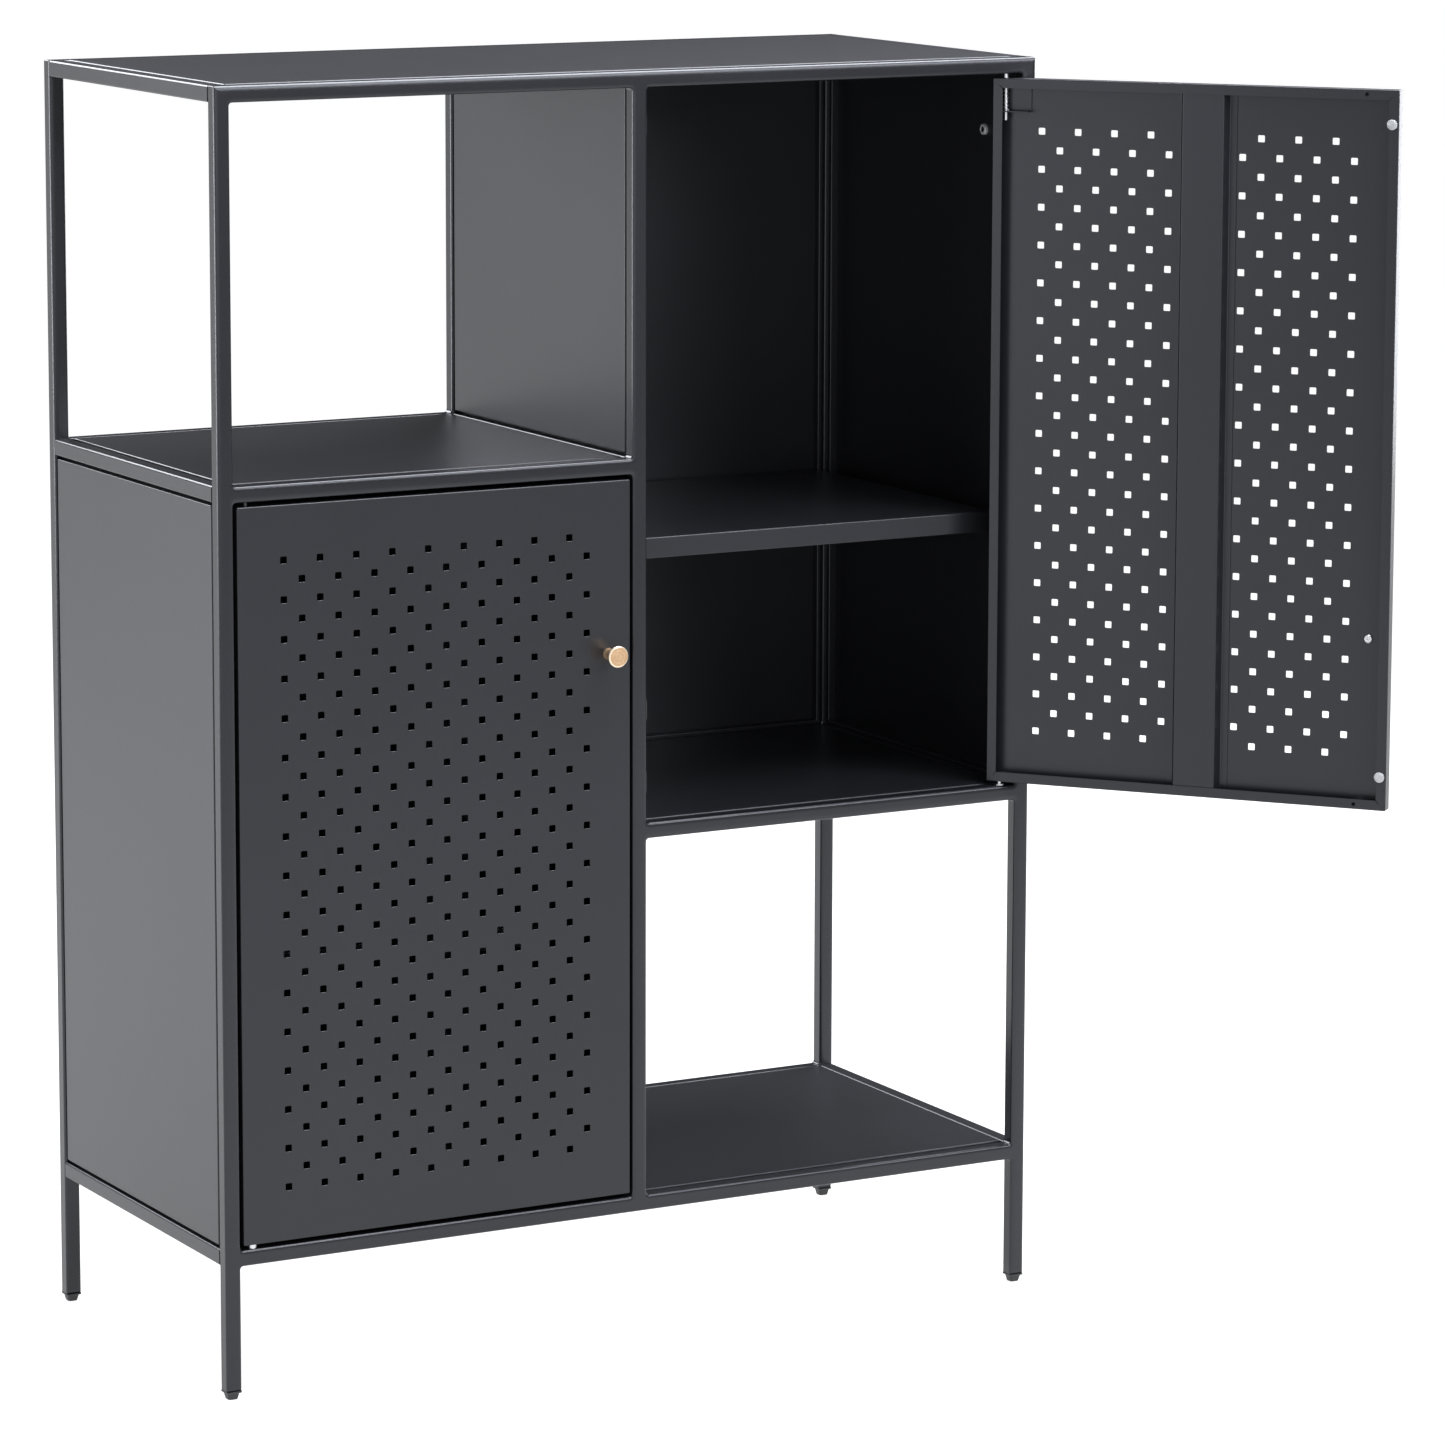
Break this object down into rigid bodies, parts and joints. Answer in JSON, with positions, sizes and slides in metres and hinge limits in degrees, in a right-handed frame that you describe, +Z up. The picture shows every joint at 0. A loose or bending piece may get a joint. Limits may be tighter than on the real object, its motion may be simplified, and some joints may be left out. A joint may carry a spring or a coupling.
{
  "type": "sideboard cabinet",
  "caption": "Dark steel sideboard cabinet with a welded tube frame, an open niche and a closed compartment in each column, and perforated doors on sprung pivot pins with turned brass knobs.",
  "frame": {"origin": "centre of the underside of the front left foot glide, on the floor", "axes": "+X along the front to the right as seen by a person facing the doors, +Y into the cabinet's depth, +Z up"},
  "size_m": [1.0768, 0.6844, 1.1944],
  "materials": {
    "powder_coat": "satin dark grey powder coat with a fine grain",
    "zinc_plated_steel": "bright zinc plating",
    "brass": "turned and satin lacquered brass",
    "clear_silicone": "clear soft silicone",
    "glide_plastic": "moulded black plastic",
    "magnet_nickel": "nickel plating"
  },
  "bodies": {
    "cabinet": {"back_panel_left": "powder_coat", "back_panel_right": "powder_coat", "bottom_rail_back": "powder_coat", "bottom_rail_front": "powder_coat", "bottom_rail_left": "powder_coat", "bottom_rail_right": "powder_coat", "cabinet_floor_left": "powder_coat", "cabinet_floor_right": "powder_coat", "centre_cross_rails": "powder_coat", "centre_post_back": "powder_coat", "centre_post_front": "powder_coat", "divider_lower": "powder_coat", "divider_middle": "powder_coat", "divider_upper": "powder_coat", "door_magnets": "magnet_nickel", "door_stop_tabs": "powder_coat", "foot_glides": "glide_plastic", "inner_shelf_left": "powder_coat", "inner_shelf_right": "powder_coat", "left_mid_rail_back": "powder_coat", "left_mid_rail_front": "powder_coat", "left_mid_rail_side": "powder_coat", "niche_shelf_left": "powder_coat", "niche_shelf_right": "powder_coat", "pivot_washers": "zinc_plated_steel", "post_back_left": "powder_coat", "post_back_right": "powder_coat", "post_front_left": "powder_coat", "post_front_right": "powder_coat", "right_mid_rail_back": "powder_coat", "right_mid_rail_front": "powder_coat", "right_mid_rail_side": "powder_coat", "shelf_brackets": "powder_coat", "side_panel_left": "powder_coat", "side_panel_right": "powder_coat", "top_panel": "powder_coat", "top_rail_back": "powder_coat", "top_rail_front": "powder_coat", "top_rail_left": "powder_coat", "top_rail_right": "powder_coat", "top_stiffener": "powder_coat", "wall_bolts": "zinc_plated_steel"},
    "left_door": {"door_skin_left": "powder_coat", "door_stiffener_left": "powder_coat", "hinge_bracket_left": "powder_coat", "fixed_pin_left": "zinc_plated_steel", "knob_left": "brass", "knob_screw_left": "zinc_plated_steel", "door_bumpers_left": "clear_silicone"},
    "right_door": {"door_skin_right": "powder_coat", "door_stiffener_right": "powder_coat", "hinge_bracket_right": "powder_coat", "fixed_pin_right": "zinc_plated_steel", "knob_right": "brass", "knob_screw_right": "zinc_plated_steel", "door_bumpers_right": "clear_silicone"},
    "left_sprung_pin": {"sprung_pin_left": "zinc_plated_steel", "pin_spring_left": "zinc_plated_steel"},
    "right_sprung_pin": {"sprung_pin_right": "zinc_plated_steel", "pin_spring_right": "zinc_plated_steel"}
  },
  "joints": [
    {"name": "left_door_hinge", "type": "hinge", "parent": "cabinet", "child": "left_door", "pos_m": [0.0215, -0.0005, 0.481], "axis": [0, 0, -1], "range_deg": [0, 129]},
    {"name": "right_door_hinge", "type": "hinge", "parent": "cabinet", "child": "right_door", "pos_m": [0.8135, -0.0005, 0.837], "axis": [0, 0, 1], "range_deg": [-129, 0]},
    {"name": "left_pin_slide", "type": "slide", "parent": "left_door", "child": "left_sprung_pin", "axis": [0, 0, 1], "range_m": [0, 0.007], "stiffness_N_per_m": 400, "springref_m": -0.006, "deforming": ["pin_spring_left"]},
    {"name": "right_pin_slide", "type": "slide", "parent": "right_door", "child": "right_sprung_pin", "axis": [0, 0, -1], "range_m": [0, 0.007], "stiffness_N_per_m": 400, "springref_m": -0.006, "deforming": ["pin_spring_right"]}
  ]
}
